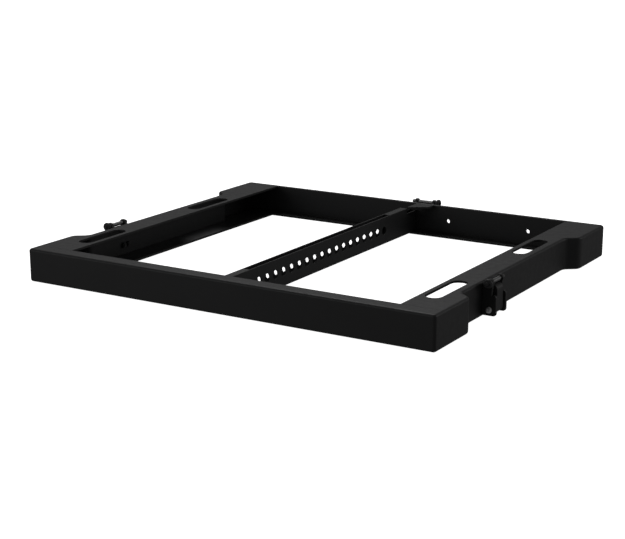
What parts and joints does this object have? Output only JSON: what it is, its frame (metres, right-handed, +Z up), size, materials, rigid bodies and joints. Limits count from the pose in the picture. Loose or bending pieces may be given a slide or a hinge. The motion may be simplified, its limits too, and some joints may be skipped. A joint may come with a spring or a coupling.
{
  "type": "loudspeaker flying frame",
  "caption": "Welded black steel rigging frame with stepped channel side rails, a drilled twin-plate centre beam and fold-down link brackets for hanging a column of loudspeakers.",
  "frame": {"origin": "on the underside plane, under the middle of the outline: half way across the frame and half way between the front face and the outer edge of the rear bracket", "axes": "+X to the right seen from the front beam, +Y to the rear web, +Z up"},
  "size_m": [1.104, 0.994, 0.092],
  "materials": {
    "black_paint": "fine satin powder coat",
    "zinc_steel": "zinc plated",
    "nylon": "black nylon",
    "pin_steel": "ground, darkened by oil"
  },
  "bodies": {
    "frame": {"front_beam": "black_paint", "rear_web": "black_paint", "rear_lip": "black_paint", "side_web_left": "black_paint", "side_web_right": "black_paint", "top_flange_left": "black_paint", "top_flange_right": "black_paint", "bottom_flange_left": "black_paint", "bottom_flange_right": "black_paint", "centre_plate_left": "black_paint", "centre_plate_right": "black_paint", "centre_block_front": "black_paint", "centre_block_rear": "black_paint", "rear_tab": "black_paint", "bracket_left": "black_paint", "bracket_right": "black_paint", "bracket_rear": "black_paint", "bracket_screws": "black_paint", "bracket_nuts": "black_paint", "pivot_bolts": "zinc_steel", "pivot_nuts": "zinc_steel", "link_washers": "nylon"},
    "link_left": {"link_left": "black_paint"},
    "link_right": {"link_right": "black_paint"},
    "link_rear": {"link_rear": "black_paint"},
    "lock_pin_left": {"lock_pin_left": "pin_steel"},
    "lock_pin_right": {"lock_pin_right": "pin_steel"},
    "lock_pin_rear": {"lock_pin_rear": "pin_steel"}
  },
  "joints": [
    {"name": "link_left_swing", "type": "hinge", "parent": "frame", "child": "link_left", "pos_m": [-0.536, -0.176, 0.019], "axis": [0, -1, 0], "range_deg": [0, 180]},
    {"name": "link_right_swing", "type": "hinge", "parent": "frame", "child": "link_right", "pos_m": [0.536, -0.176, 0.019], "axis": [0, 1, 0], "range_deg": [0, 180]},
    {"name": "link_rear_swing", "type": "hinge", "parent": "frame", "child": "link_rear", "pos_m": [0.024, 0.481, 0.019], "axis": [-1, 0, 0], "range_deg": [0, 180]},
    {"name": "lock_pin_left_pull", "type": "slide", "parent": "frame", "child": "lock_pin_left", "axis": [0, -1, 0], "range_m": [0, 0.062]},
    {"name": "lock_pin_right_pull", "type": "slide", "parent": "frame", "child": "lock_pin_right", "axis": [0, -1, 0], "range_m": [0, 0.062]},
    {"name": "lock_pin_rear_pull", "type": "slide", "parent": "frame", "child": "lock_pin_rear", "axis": [1, 0, 0], "range_m": [0, 0.062]}
  ]
}
